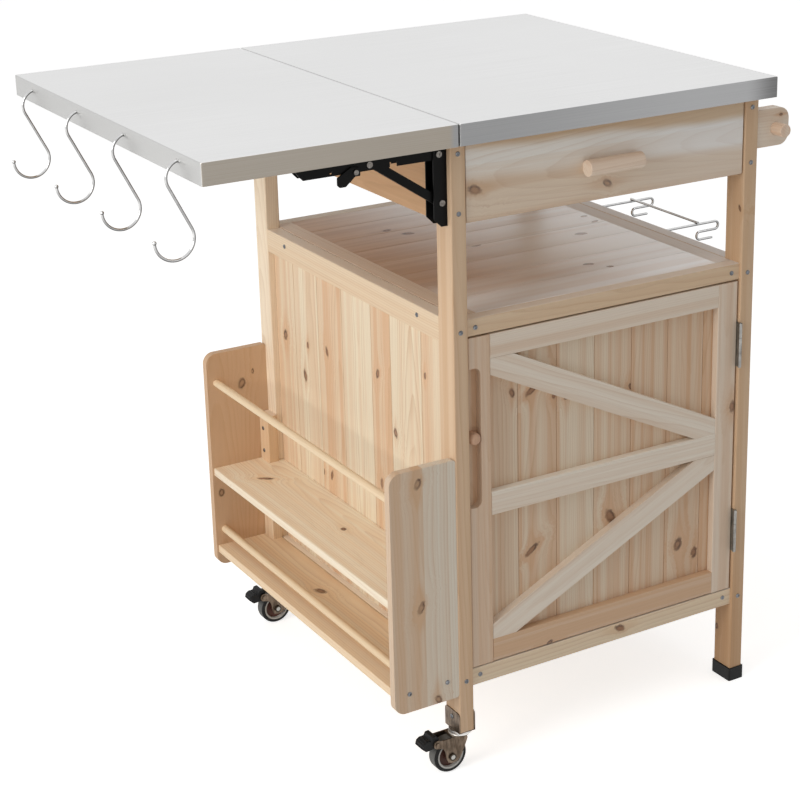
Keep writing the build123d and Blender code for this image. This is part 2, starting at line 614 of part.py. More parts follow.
def bag_arm(y):
    z1 = BAG_Z - 2 * BEND_R
    z2 = z1 - 2 * BEND_R
    low = (BAG_TURN, BAG_Z - BEND_R, BEND_R)
    back = (BAG_BACK, z1 - BEND_R, BEND_R)
    edges = [Line((CART_W - RL1 + 6, y, BAG_Z), (BAG_TURN, y, BAG_Z)), bend(low, 90, -90, y),
             Line((BAG_TURN, y, z1), (BAG_BACK, y, z1)), bend(back, 90, 270, y),
             Line((BAG_BACK, y, z2), (BAG_TIP, y, z2))]
    return wire(edges, BAG_R) + Pos(BAG_TIP, y, z2) * Sphere(BAG_R + 0.02)


bag = bag_arm(BAG_YS[0]) + bag_arm(BAG_YS[1])
bag += rod_y(BAG_CROSS_X, BAG_Z + BAG_R * 1.6, BAG_R, BAG_YS[0] - 3, BAG_YS[1] + 3)
save("bag_holder", [bag])

# Casters under the left legs: leg bracket with king pin, fork, tyre, hub and brake pedal
CY = CASTER_YS[0]
BRK_T = 1.5
RACE_LOW = 55.5
RACE_R = 16.0
FORK_TOP = 53.0
PLATE_T = 2.5
HEAD_Z = 47.0
HEAD_R = 6.5
KING_R = 4.0
FORK_LONG = 80.0
CHEEK_TOP = LEFT_LEG_LOW + 28.0


def caster_bracket():
    low = LEFT_LEG_LOW - BRK_T
    shell = block(-BRK_T, LEG_W + BRK_T, 0, LEG_D, low, CHEEK_TOP)
    shell -= block(0, LEG_W, -1, LEG_D + 1, LEFT_LEG_LOW, CHEEK_TOP + 1)
    shell = fillet(shell.edges().filter_by(Axis.X).group_by(Axis.Z)[-1], 5.0)
    shell += rod_z(CASTER_X, CY, RACE_R, RACE_LOW, low)
    shell += rod_z(CASTER_X, CY, KING_R, FORK_TOP - PLATE_T - 1, RACE_LOW)
    return shell + rod_z(CASTER_X, CY, HEAD_R, HEAD_Z, FORK_TOP - PLATE_T - 0.4)


STEP_Y = CASTER_YS[1] - CASTER_YS[0]
save("caster_brackets", [caster_bracket(), Pos(0, STEP_Y, 0) * caster_bracket()])

EAR_R = 6.0
PEDAL_PIN_R = 2.0
AXLE_R = 4.0
PX0, PZ0 = PEDAL_PIVOT
cheek = outline([(13, FORK_TOP), (-24, FORK_TOP), (PX0, PZ0 + EAR_R), (PX0, PZ0 - EAR_R), (-24, 41), (-21, 36),
                 (-19, 24), (-16, 17.5), (-10, 15.5), (-3, 16.5), (3, 21), (9, 33), (14.5, 47)])
cheek += Pos(PX0, PZ0) * Circle(EAR_R)
FORK_Y0 = CY - FORK_IN - FORK_T
FORK_Y1 = CY + FORK_IN + FORK_T


def bolt_y(x, z, r, head_r, head):
    """A bolt through both cheeks of the front fork with a head on each side."""
    bolt = rod_y(x, z, r, FORK_Y0 - head, FORK_Y1 + head)
    return bolt + rod_y(x, z, head_r, FORK_Y0 - head, FORK_Y0) + rod_y(x, z, head_r, FORK_Y1, FORK_Y1 + head)


def fork():
    body = slab_xz(cheek, FORK_Y0, FORK_Y1)
    body -= block(-FORK_LONG, FORK_LONG, CY - FORK_IN, CY + FORK_IN, -5, FORK_TOP - PLATE_T)
    body -= block(-FORK_LONG, -8, CY - FORK_IN, CY + FORK_IN, FORK_TOP - PLATE_T - 1, FORK_TOP + 20)
    body += rod_z(CASTER_X, CY, RACE_R - 2.5, FORK_TOP - PLATE_T, FORK_TOP)
    body += rod_z(CASTER_X, CY, RACE_R, FORK_TOP, RACE_LOW - 0.4)
    body -= rod_z(CASTER_X, CY, KING_R + 0.08, 0, RACE_LOW + 1)
    return body + bolt_y(*PEDAL_PIVOT, PEDAL_PIN_R, 3.2, 1.5) + bolt_y(WHEEL_X, WHEEL_R, AXLE_R, 5.2, 2.5)


def tyre():
    ring = rod_y(WHEEL_X, WHEEL_R, WHEEL_R, CY - WHEEL_W / 2, CY + WHEEL_W / 2)
    ring = fillet(ring.edges().filter_by(GeomType.CIRCLE), 3.0)
    return ring - rod_y(WHEEL_X, WHEEL_R, RIM_R, CY - WHEEL_W, CY + WHEEL_W)


HUB_EDGE = WHEEL_W / 2 - 0.5
DISH = 4.5
BOSS_R = 8.0


def hub():
    disc = rod_y(WHEEL_X, WHEEL_R, RIM_R, CY - HUB_EDGE, CY + HUB_EDGE)
    web = rod_y(WHEEL_X, WHEEL_R, RIM_R - RIM_T, CY - WHEEL_W, CY + WHEEL_W)
    web -= rod_y(WHEEL_X, WHEEL_R, BOSS_R, CY - WHEEL_W, CY + WHEEL_W)
    disc -= web - block(-FORK_LONG, FORK_LONG, CY - HUB_EDGE + DISH, CY + HUB_EDGE - DISH, -5, FORK_LONG)
    return disc - rod_y(WHEEL_X, WHEEL_R, AXLE_R + 0.06, CY - WHEEL_W, CY + WHEEL_W)


PEDAL_Y = FORK_IN - 0.6
RIB_R = 1.1
PEDAL_SHAPE = ((-22, -2), (-20.5, 4), (-16, 7), (-9, 7), (-6.5, 12), (-1, 12.5), (3, 8), (3, -2), (-1, -5),
               (-8, -6), (-17, -6.5))
RIBS = ((-21.7, -1), (-20.8, 3), (-18.2, 5.6), (-14.6, 7), (-11, 7))


def pedal():
    paddle = fillet(outline([(PX0 + x, PZ0 + z) for x, z in PEDAL_SHAPE]).vertices(), 1.5)
    body = slab_xz(paddle, CY - PEDAL_Y, CY + PEDAL_Y)
    for x, z in RIBS:
        body += rod_y(PX0 + x, PZ0 + z, RIB_R, CY - PEDAL_Y + 1.5, CY + PEDAL_Y - 1.5)
    return body - rod_y(PX0, PZ0, PEDAL_PIN_R + PIN_CLEAR, CY - 20, CY + 20)


for label, dy in (("front", 0), ("rear", STEP_Y)):
    save(f"caster_fork_{label}", [Pos(0, dy, 0) * fork()])
    save(f"caster_tyre_{label}", [Pos(0, dy, 0) * tyre()])
    save(f"caster_hub_{label}", [Pos(0, dy, 0) * hub()])
    save(f"brake_pedal_{label}", [Pos(0, dy, 0) * pedal()])

# Screws in the carcass, the rack and the casters' brackets
heads = []
for x in (CASTER_X, RIGHT_X + LEG_W / 2):
    for z in (TOP_Z - 43, APRON_LOW + 16, SHELF_Z - 14, FLOOR_Z - 13):
        heads.append(screw(x, 0, z, "-y"))
        heads.append(screw(x, CART_D, z, "+y"))
for x in (LEG_W + 13, RIGHT_X - 14):
    for z in (SHELF_Z - 12, FLOOR_Z - 11):
        heads.append(screw(x, FR0, z, "-y"))
for y in (LEG_D + 55, REAR_Y - 55):
    for z in (SHELF_Z - 13, FLOOR_Z - 13):
        heads.append(screw(RL0, y, z, "-x"))
        heads.append(screw(CART_W - RL0, y, z, "+x"))
for x in (-18.0, -76.0):
    heads.append(screw(x, RB0, RACK_LOWER_Z - SHELF_T / 2, "-y"))
    heads.append(screw(x, CART_D - RB0, RACK_LOWER_Z - SHELF_T / 2, "+y"))
for y in (RB1 + 12, CART_D - RB1 - 12):
    for z in (RACK_UPPER_Z + 16, RACK_UPPER_Z + 52):
        heads.append(screw(-CLEAT_X, y, z, "-x", 3.0))
for y in CASTER_YS:
    heads.append(screw(-BRK_T, y, CHEEK_TOP - 10, "-x", 3.4))
    heads.append(screw(LEG_W + BRK_T, y, CHEEK_TOP - 10, "+x", 3.4))
save("screws", heads)
print("origin", round(ORIGIN_X, 4), round(ORIGIN_Y, 4))
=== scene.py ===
import bmesh
import bpy
import math
import random
from mathutils import Matrix, Vector


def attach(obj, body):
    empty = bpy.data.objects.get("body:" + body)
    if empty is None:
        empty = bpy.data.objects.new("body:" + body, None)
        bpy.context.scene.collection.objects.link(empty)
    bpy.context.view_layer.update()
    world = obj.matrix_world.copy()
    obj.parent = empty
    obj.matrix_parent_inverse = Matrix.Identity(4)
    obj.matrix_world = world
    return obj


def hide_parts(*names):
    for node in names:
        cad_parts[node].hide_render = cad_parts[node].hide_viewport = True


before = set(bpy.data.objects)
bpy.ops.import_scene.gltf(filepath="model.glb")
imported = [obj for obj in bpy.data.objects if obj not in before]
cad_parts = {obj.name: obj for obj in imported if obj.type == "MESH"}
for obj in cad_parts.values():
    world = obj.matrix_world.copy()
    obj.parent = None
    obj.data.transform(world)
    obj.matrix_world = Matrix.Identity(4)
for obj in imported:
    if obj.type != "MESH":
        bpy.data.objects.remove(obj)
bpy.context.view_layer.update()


# Legs: four sticks of planed fir that carry the whole cart, the left pair cut short for the casters.
# Sawn from knotty stock, sanded and left bare, with a small round on the long edges.
def place(tree, kind, *values, **settings):
    """Place a node in a tree and fill its inputs in order, each with a socket, a value or None."""
    made = tree.nodes.new("ShaderNode" + kind)
    for label, value in settings.items():
        setattr(made, label, value)
    for spot, value in zip(made.inputs, values):
        if isinstance(value, bpy.types.NodeSocket):
            tree.links.new(value, spot)
        elif value is not None:
            spot.default_value = value
    return made


def calc(tree, task, *values):
    """Do one sum in a node tree."""
    return place(tree, "Math", *values, operation=task).outputs[0]


def times(tree, one, other):
    """Multiply two values."""
    return calc(tree, "MULTIPLY", one, other)


def plus(tree, one, other):
    """Add two values."""
    return calc(tree, "ADD", one, other)


def minus(tree, one, other):
    """Take one value from another."""
    return calc(tree, "SUBTRACT", one, other)


def span(tree, one, other):
    """The length of a slanting line from the two lengths that it spans."""
    return calc(tree, "SQRT", plus(tree, times(tree, one, one), times(tree, other, other)))


def fade(tree, value, start, end, low=0.0, high=1.0):
    """Turn a value into a soft step from low to high between start and end."""
    return place(tree, "MapRange", value, start, end, low, high, interpolation_type="SMOOTHSTEP").outputs[0]


def stretch(tree, vector, scale):
    """Scale a place along each of its directions."""
    return place(tree, "VectorMath", vector, scale, operation="MULTIPLY").outputs[0]


def cloud(tree, vector, seed, detail):
    """Soft noise between 0 and 1 at a place, one for each seed."""
    return place(tree, "TexNoise", vector, seed, 1.0, detail, noise_dimensions="4D").outputs[0]


def tint(tree, share, under, over, way="MIX"):
    """Lay one colour over another by a share."""
    made = place(tree, "Mix", data_type="RGBA", blend_type=way)
    for spot, value in ((0, share), (6, under), (7, over)):
        if isinstance(value, bpy.types.NodeSocket):
            tree.links.new(value, made.inputs[spot])
        else:
            made.inputs[spot].default_value = value
    return made.outputs[2]


def effect(name, ins, outs):
    """Start a node group with named inputs and outputs."""
    group = bpy.data.node_groups.new(name, "ShaderNodeTree")
    for label, kind, value in ins:
        spot = group.interface.new_socket(label, in_out="INPUT", socket_type="NodeSocket" + kind)
        spot.default_value = value
    for label, kind in outs:
        group.interface.new_socket(label, in_out="OUTPUT", socket_type="NodeSocket" + kind)
    return group, group.nodes.new("NodeGroupInput").outputs, group.nodes.new("NodeGroupOutput").inputs


KNOT_BEND, KNOT_FALLOFF = 0.85, 0.12


def knot_effect():
    """A branch through the board: grain bent round it, a bark rim, a heart and a flushed halo.
    A knot's radius is negative where the saw cut the branch along its length, which leaves a spike."""
    ins = (("Grain", "Vector", (0, 0, 0)), ("Knot", "Vector", (0, 0, 0)))
    outs = (("Grain", "Vector"), ("Heart", "Float"), ("Rim", "Float"), ("Halo", "Float"))
    group, got, give = effect("knot in fir", ins, outs)
    along, across, deep = place(group, "SeparateXYZ", got["Grain"]).outputs
    at_along, at_across, size = place(group, "SeparateXYZ", got["Knot"]).outputs
    radius = calc(group, "MAXIMUM", calc(group, "ABSOLUTE", size), 0.00001)
    spike = calc(group, "LESS_THAN", size, 0.0)
    off_along = minus(group, along, at_along)
    off_across = minus(group, across, at_across)
    dice = place(group, "TexWhiteNoise", None, times(group, at_along, 77.0), noise_dimensions="1D")
    chance, turn, age = place(group, "SeparateColor", dice.outputs["Color"]).outputs
    leaning = times(group, off_along, calc(group, "MULTIPLY_ADD", turn, 0.8, -0.4))
    leaning = plus(group, off_across, leaning)
    longer = times(group, off_along, calc(group, "MULTIPLY_ADD", chance, 0.4, 0.45))
    branch = plus(group, times(group, off_along, 0.2), times(group, off_across, 0.27))
    breadth = minus(group, times(group, off_across, 0.6), times(group, off_along, 0.8))
    longer = plus(group, longer, times(group, minus(group, branch, longer), spike))
    leaning = plus(group, leaning, times(group, minus(group, breadth, leaning), spike))
    gap = span(group, longer, leaning)
    uneven = cloud(group, stretch(group, got["Grain"], (220, 220, 220)), times(group, at_along, 90.0), 1.0)
    gap = calc(group, "DIVIDE", gap, radius)
    gap = times(group, gap, calc(group, "MULTIPLY_ADD", uneven, 0.9, 0.55))
    bend = calc(group, "EXPONENT", times(group, times(group, gap, gap), -KNOT_FALLOFF))
    moved = minus(group, across, times(group, off_across, times(group, bend, KNOT_BEND)))
    group.links.new(place(group, "CombineXYZ", along, moved, deep).outputs[0], give["Grain"])
    core = fade(group, gap, 1.1, 0.6)
    group.links.new(times(group, core, calc(group, "MULTIPLY_ADD", age, 0.25, 0.75)), give["Heart"])
    edge = fade(group, calc(group, "ABSOLUTE", minus(group, gap, 0.75)), 0.5, 0.05)
    lean = calc(group, "DIVIDE", off_across, radius)
    lean = plus(group, lean, calc(group, "MULTIPLY_ADD", chance, 1.6, -0.8))
    one_side = fade(group, lean, -0.9, 0.5, 0.3, 1.0)
    torn = times(group, edge, fade(group, uneven, 0.25, 0.6, 0.4, 1.0))
    group.links.new(times(group, torn, one_side), give["Rim"])
    smear = calc(group, "DIVIDE", span(group, times(group, off_along, 0.22), off_across), radius)
    halo = calc(group, "MAXIMUM", fade(group, gap, 2.8, 0.9), fade(group, smear, 2.0, 0.5))
    group.links.new(halo, give["Halo"])
    return group


def ring_effect():
    """Growth rings cut along the trunk: arches near the pith, straight lines further out."""
    ins = (("Grain", "Vector", (0, 0, 0)), ("Seed", "Float", 0.0), ("Spacing", "Float", 0.003),
           ("Waver", "Float", 0.012))
    outs = (("Late", "Float"), ("Streak", "Float"), ("Fibre", "Float"), ("Heartwood", "Float"))
    group, got, give = effect("growth rings", ins, outs)
    along, across, deep = place(group, "SeparateXYZ", got["Grain"]).outputs
    dice = place(group, "TexWhiteNoise", None, got["Seed"], noise_dimensions="1D").outputs["Color"]
    pith_across, pith_deep, slope = place(group, "SeparateColor", dice).outputs
    sway = minus(group, cloud(group, stretch(group, got["Grain"], (2.2, 9, 9)), got["Seed"], 1.0), 0.5)
    sway = times(group, sway, got["Waver"])
    ripple = minus(group, cloud(group, stretch(group, got["Grain"], (11, 40, 40)), got["Seed"], 2.0), 0.5)
    ripple = times(group, ripple, 0.004)
    side = plus(group, minus(group, across, calc(group, "MULTIPLY_ADD", pith_across, 0.1, -0.05)), sway)
    lean = times(group, along, calc(group, "MULTIPLY_ADD", slope, 0.09, -0.045))
    under = minus(group, deep, calc(group, "MULTIPLY_ADD", pith_deep, 0.05, 0.01))
    under = plus(group, minus(group, under, lean), ripple)
    year = calc(group, "DIVIDE", span(group, side, under), got["Spacing"])
    part = calc(group, "FRACT", year)
    strong = place(group, "TexWhiteNoise", None, plus(group, calc(group, "FLOOR", year), got["Seed"]),
                   noise_dimensions="1D").outputs["Value"]
    late = times(group, calc(group, "POWER", part, 3.0), fade(group, part, 1.0, 0.92))
    group.links.new(times(group, late, calc(group, "MULTIPLY_ADD", strong, 0.8, 0.4)), give["Late"])
    band = cloud(group, stretch(group, got["Grain"], (0.5, 75, 40)), got["Seed"], 3.0)
    group.links.new(fade(group, band, 0.4, 0.6), give["Streak"])
    fibre = cloud(group, stretch(group, got["Grain"], (24, 900, 900)), got["Seed"], 2.0)
    group.links.new(fibre, give["Fibre"])
    broad = cloud(group, stretch(group, got["Grain"], (0.5, 22, 22)), plus(group, got["Seed"], 31.0), 1.0)
    group.links.new(fade(group, broad, 0.55, 0.66), give["Heartwood"])
    return group


JOINT_WIDE, JOINT_DARK = 0.0013, 0.0003
STRIP_SEED = 3.7


def fir_effect(knot, rings):
    """Bare knotty fir: board tone, bands, rings, heartwood, up to three knots and glued strips."""
    ins = (("Pale", "Color", (0.84, 0.67, 0.45, 1)), ("Tan", "Color", (0.72, 0.47, 0.25, 1)),
           ("Late Wood", "Color", (0.5, 0.28, 0.13, 1)), ("Heart Wood", "Color", (0.6, 0.37, 0.22, 1)),
           ("Knot Wood", "Color", (0.28, 0.135, 0.065, 1)), ("Bark", "Color", (0.08, 0.037, 0.02, 1)),
           ("Ring Spacing", "Float", 0.0032), ("Ring Depth", "Float", 0.45), ("Band Depth", "Float", 0.5),
           ("Heart Share", "Float", 0.4), ("Gloss", "Float", 0.0), ("Edge Depth", "Float", 0.0),
           ("Strip Width", "Float", 1.0), ("Strip Start", "Float", -0.5), ("Strip Change", "Float", 0.0))
    outs = (("Color", "Color"), ("Roughness", "Float"), ("Height", "Float"))
    group, got, give = effect("knotty fir", ins, outs)
    grain = place(group, "Attribute", attribute_name="grain").outputs["Vector"]
    board = place(group, "Attribute", attribute_name="board").outputs["Vector"]
    tone, seed, half = place(group, "SeparateXYZ", board).outputs
    across = place(group, "SeparateXYZ", grain).outputs[1]
    strip = calc(group, "DIVIDE", minus(group, across, got["Strip Start"]), got["Strip Width"])
    strip = calc(group, "FLOOR", strip)
    tone = plus(group, tone, times(group, strip, got["Strip Change"]))
    seed = plus(group, seed, times(group, strip, STRIP_SEED))
    spots = []
    for label in ("knot_a", "knot_b", "knot_c"):
        where = place(group, "Attribute", attribute_name=label).outputs["Vector"]
        spot = place(group, "Group", grain, where, node_tree=knot)
        grain = spot.outputs["Grain"]
        spots.append(spot.outputs)
    figure = place(group, "Group", grain, seed, got["Ring Spacing"], node_tree=rings).outputs
    one, two, three = spots
    halo, heart, rim = [calc(group, "MAXIMUM", one[k], calc(group, "MAXIMUM", two[k], three[k]))
                        for k in ("Halo", "Heart", "Rim")]
    tone = plus(group, tone, times(group, minus(group, figure["Streak"], 0.5), got["Band Depth"]))
    tone = plus(group, tone, times(group, halo, 0.5))
    tone = calc(group, "MINIMUM", calc(group, "MAXIMUM", tone, 0.0), 1.0)
    color = tint(group, tone, got["Pale"], got["Tan"])
    color = tint(group, times(group, figure["Heartwood"], got["Heart Share"]), color, got["Heart Wood"])
    color = tint(group, times(group, figure["Late"], got["Ring Depth"]), color, got["Late Wood"])
    hair = calc(group, "MULTIPLY_ADD", minus(group, figure["Fibre"], 0.5), 0.14, 1.0)
    color = tint(group, 1.0, color, place(group, "CombineColor", hair, hair, hair).outputs[0], "MULTIPLY")
    color = tint(group, heart, color, got["Knot Wood"])
    color = tint(group, times(group, rim, 0.9), color, got["Bark"])
    inset = minus(group, half, calc(group, "ABSOLUTE", across))
    joint = times(group, fade(group, inset, JOINT_WIDE, JOINT_DARK), got["Edge Depth"])
    color = tint(group, joint, color, got["Late Wood"])
    group.links.new(color, give["Color"])
    dull = calc(group, "MULTIPLY_ADD", figure["Fibre"], 0.16, 0.5)
    group.links.new(minus(group, dull, got["Gloss"]), give["Roughness"])
    relief = plus(group, times(group, figure["Late"], 0.6), times(group, figure["Fibre"], 0.4))
    group.links.new(minus(group, relief, times(group, rim, 0.5)), give["Height"])
    return group


knotty_fir = fir_effect(knot_effect(), ring_effect())


def new_finish(name):
    """Start a finish: the finish itself, its node tree and the shader of its surface."""
    made = bpy.data.materials.new(name)
    made.use_nodes = True
    return made, made.node_tree, made.node_tree.nodes["Principled BSDF"]


def emboss(tree, height, strength, lift):
    """Raise the surface of a finish a little by a height."""
    relief = place(tree, "Bump", strength, lift)
    tree.links.new(height, relief.inputs["Height"])
    tree.links.new(relief.outputs["Normal"], tree.nodes["Principled BSDF"].inputs["Normal"])


def fir(name, oil=0.0, **values):
    """A fir finish with its own colours and figure, bare or under a film of oil."""
    made, tree, shader = new_finish(name)
    shader.inputs["Coat Weight"].default_value = oil
    shader.inputs["Coat Roughness"].default_value = 0.25
    wood = place(tree, "Group", node_tree=knotty_fir)
    for label, value in values.items():
        wood.inputs[label.replace("_", " ").title()].default_value = value
    tree.links.new(wood.outputs["Color"], shader.inputs["Base Color"])
    tree.links.new(wood.outputs["Roughness"], shader.inputs["Roughness"])
    emboss(tree, wood.outputs["Height"], 0.25, 0.0003)
    return made


def lone_boards(shape):
    """The separate boards of a mesh, each as its list of points, in order of their middles."""
    left = set(shape.verts)
    found = []
    while left:
        start = left.pop()
        board = [start]
        for point in board:
            for edge in point.link_edges:
                other = edge.other_vert(point)
                if other in left:
                    left.remove(other)
                    board.append(other)
        found.append(board)

    def middle(board):
        """The mean of a board's points, to the millimetre."""
        return [round(sum(p.co[i] for p in board) / len(board), 3) for i in range(3)]

    return sorted(found, key=middle)


def board_axes(board):
    """The middle of a board and its directions along the grain, across it and through its thickness."""
    low = Vector([min(p.co[i] for p in board) for i in range(3)])
    high = Vector([max(p.co[i] for p in board) for i in range(3)])
    thin = min(range(3), key=lambda i: high[i] - low[i])
    a, b = [i for i in range(3) if i != thin]
    best = None
    for turn in range(180):
        way = Vector((0, 0, 0))
        way[a] = math.cos(math.radians(turn))
        way[b] = math.sin(math.radians(turn))
        reach = [p.co.dot(way) for p in board]
        if best is None or max(reach) - min(reach) < best[0] - 1e-6:
            best = (max(reach) - min(reach), way)
    across = best[1]
    through = Vector((0, 0, 0))
    through[thin] = 1.0
    return (low + high) / 2, across.cross(through), across, through


NEAR = 0.002


def distance(spot, board, axes):
    """How far a spot lies from a board, which is nothing within the board's box and a little round it."""
    middle = axes[0]
    for way in axes[1:]:
        half = max(abs((p.co - middle).dot(way)) for p in board)
        if abs((spot - middle).dot(way)) > half + NEAR:
            return min((p.co - spot).length for p in board)
    return 0.0


WELD = 0.000002
CREASE = 0.5
LONG_BOARD = 0.2


def boards(node, body, finish, tones=(0.1, 0.9), knots=(), wild=0.3, knot_size=0.0045):
    """Copy a node's boards as a piece of its own and write each one's grain, tone and knots on its points.
    tones is a low and a high tone to choose between, or one tone for each board. knots are x, y, z and
    radius, below zero for a spike knot, and wild is the chance of others up to about knot_size."""
    dice = random.Random(node)
    shape = bmesh.new()
    shape.from_mesh(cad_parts[node].data)
    bmesh.ops.remove_doubles(shape, verts=shape.verts, dist=WELD)
    shape.verts.ensure_lookup_table()
    shape.normal_update()
    for face in shape.faces:
        face.smooth = True
    for edge in shape.edges:
        edge.smooth = len(edge.link_faces) == 2 and edge.calc_face_angle() < CREASE
    labels = ("grain", "board", "knot_a", "knot_b", "knot_c")
    layers = [shape.verts.layers.float_vector.new(label) for label in labels]
    found = lone_boards(shape)
    axes = [board_axes(board) for board in found]
    own = {}
    for x, y, z, radius in knots:
        spot = Vector((x, y, z))
        near = min(range(len(found)), key=lambda i: distance(spot, found[i], axes[i]))
        middle, along, across, _ = axes[near]
        own.setdefault(near, []).append(((spot - middle).dot(along), (spot - middle).dot(across), radius))
    for i, (board, (middle, along, across, through)) in enumerate(zip(found, axes)):
        long = max((p.co - middle).dot(along) for p in board)
        wide = max((p.co - middle).dot(across) for p in board)
        tone = tones[i % len(tones)] if len(tones) > 2 else dice.uniform(*tones)
        seed = dice.uniform(1.0, 90.0)
        spots = own.get(i, [])
        while len(spots) < 3 and dice.random() < wild * min(1.0, long / LONG_BOARD):
            off_along = dice.uniform(-0.9, 0.9) * long
            off_across = dice.uniform(-0.8, 0.8) * wide
            spots.append((off_along, off_across, knot_size * dice.uniform(0.35, 1.15)))
        spots = (spots + [(0, 0, 0)] * 3)[:3]
        for point in board:
            off = point.co - middle
            values = [(off.dot(along), off.dot(across), off.dot(through)), (tone, seed, wide)] + spots
            for layer, value in zip(layers, values):
                point[layer] = value
    mesh = bpy.data.meshes.new(node + "_wood")
    shape.to_mesh(mesh)
    shape.free()
    made = bpy.data.objects.new(node + "_wood", mesh)
    bpy.context.scene.collection.objects.link(made)
    mesh.materials.append(finish)
    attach(made, body)
    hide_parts(node)


def spot_on(tree):
    """The x, y and z of a place on the piece, in metres of the shared frame."""
    return place(tree, "SeparateXYZ", place(tree, "TexCoord").outputs["Object"]).outputs


def facing_on(tree):
    """How far the surface faces along x, y and z."""
    return place(tree, "SeparateXYZ", place(tree, "TexCoord").outputs["Normal"]).outputs


def repaint(finish, share, color, way="MIX"):
    """Lay a colour over a finish by a share."""
    tree = finish.node_tree
    spot = tree.nodes["Principled BSDF"].inputs["Base Color"]
    tree.links.new(tint(tree, share, spot.links[0].from_socket, color, way), spot)


LEG_KNOTS = ((0.351, -0.275, 0.717, 0.003),)
RIGHT_LEGS_X = 0.33
DARK_FOOT_TOP, DARK_FOOT_LOW = 0.3, 0.08
leg_fir = fir("leg fir", pale=(0.92, 0.78, 0.6, 1), tan=(0.64, 0.43, 0.26, 1), band_depth=0.22,
              heart_share=0.3)
tree = leg_fir.node_tree
x, _, z = spot_on(tree)
# The right legs turn darker and warmer towards the floor.
low_end = fade(tree, z, DARK_FOOT_TOP, DARK_FOOT_LOW, 0.0, 0.9)
low_end = times(tree, fade(tree, x, RIGHT_LEGS_X - 0.03, RIGHT_LEGS_X), low_end)
repaint(leg_fir, low_end, (0.83, 0.73, 0.63, 1), "MULTIPLY")
# The rear-left leg's palest tone is painted light, standing in for light that reaches it under the leaf.
boards("legs", "cart", leg_fir, tones=(0.82, 0.1, 0.92, 0.6), knots=LEG_KNOTS, wild=0.2)


# Rails and aprons: fir laths between the legs that stiffen the box and carry its shelves.
# Planed, cut square and screwed through the legs from outside.
RAIL_KNOTS = ((0.156, -0.278, 0.14, 0.005),)
RIGHT_RAIL_X = 0.33
rail_fir = fir("rail fir", pale=(0.82, 0.68, 0.5, 1), tan=(0.72, 0.51, 0.32, 1), band_depth=0.35,
               heart_share=0.2)
tree = rail_fir.node_tree
# Painted highlight: upward faces are lightened, and towards the right they are greyed as a painted sheen.
lit_top = fade(tree, facing_on(tree)[2], 0.6, 0.9)
repaint(rail_fir, times(tree, lit_top, 0.55), (0.92, 0.86, 0.79, 1))
right_top_sheen = fade(tree, spot_on(tree)[0], RIGHT_RAIL_X, RIGHT_RAIL_X + 0.03, 0.0, 0.7)
repaint(rail_fir, times(tree, lit_top, right_top_sheen), (0.82, 0.83, 0.85, 1))
boards("side_rails", "cart", rail_fir, tones=(0.0, 0.6), wild=0.15)
boards("back_rails", "cart", rail_fir, tones=(0.0, 0.6), wild=0.15)
boards("front_rails", "cart", rail_fir, tones=(0.0, 0.6), knots=RAIL_KNOTS, wild=0.15)
apron_fir = fir("apron fir", pale=(0.7, 0.44, 0.24, 1), tan=(0.58, 0.34, 0.17, 1), band_depth=0.4,
                heart_share=0.3)
boards("aprons", "cart", apron_fir, tones=(0.2, 0.6), wild=0.15)


# Side and back planks: upright fir boards with tongue and groove, closing the box on three sides.
# Sawn from the outside of the log, so knots, arched rings and red heartwood show.
LEFT_TONES = (0.5, 0.15, 0.9, 0.05, 0.75, 0.2, 0.45)
LEFT_KNOTS = ((-0.1, 0.218, 0.483, 0.006), (-0.1, 0.146, 0.487, 0.003), (-0.1, 0.158, 0.436, 0.005),
              (-0.1, 0.086, 0.494, 0.004), (-0.1, -0.063, 0.506, 0.0045), (-0.1, -0.192, 0.542, 0.003),
              (-0.1, -0.109, 0.434, 0.005), (-0.1, 0.111, 0.301, 0.004), (-0.1, 0.085, 0.304, 0.004),
              (-0.1, -0.066, 0.345, 0.004))
plank_fir = fir("plank fir", pale=(0.84, 0.73, 0.55, 1), tan=(0.72, 0.48, 0.3, 1), ring_spacing=0.0026,
                ring_depth=0.5, band_depth=0.6, edge_depth=0.35)
boards("left_planks", "cart", plank_fir, tones=LEFT_TONES, knots=LEFT_KNOTS, wild=0.0)
boards("right_planks", "cart", plank_fir, tones=(0.15, 0.6), wild=0.6)
boards("back_planks", "cart", plank_fir, tones=(0.15, 0.6), wild=0.6)


# Shelf and floor: fir boards laid side by side from left to right on the rails.
# The open shelf has an end strip along each side; both are screwed from below.
SHELF_KNOTS = ((0.033, 0.14, 0.64, 0.005), (0.051, 0.108, 0.64, 0.006), (0.099, 0.0, 0.64, 0.005),
               (0.315, 0.041, 0.64, 0.004), (0.311, 0.008, 0.64, 0.004), (0.257, -0.035, 0.64, 0.006),
               (0.179, -0.165, 0.64, 0.005), (0.197, -0.189, 0.64, 0.004))
shelf_fir = fir("shelf fir", pale=(0.63, 0.44, 0.3, 1), tan=(0.5, 0.31, 0.19, 1), gloss=0.05,
                ring_depth=0.35, band_depth=0.7)
tree = shelf_fir.node_tree
at = place(tree, "TexCoord").outputs["Object"]
x, y, _ = place(tree, "SeparateXYZ", at).outputs
streak = place(tree, "TexNoise", stretch(tree, at, (1.5, 32, 1)), None, 1.0, 2.0).outputs[0]
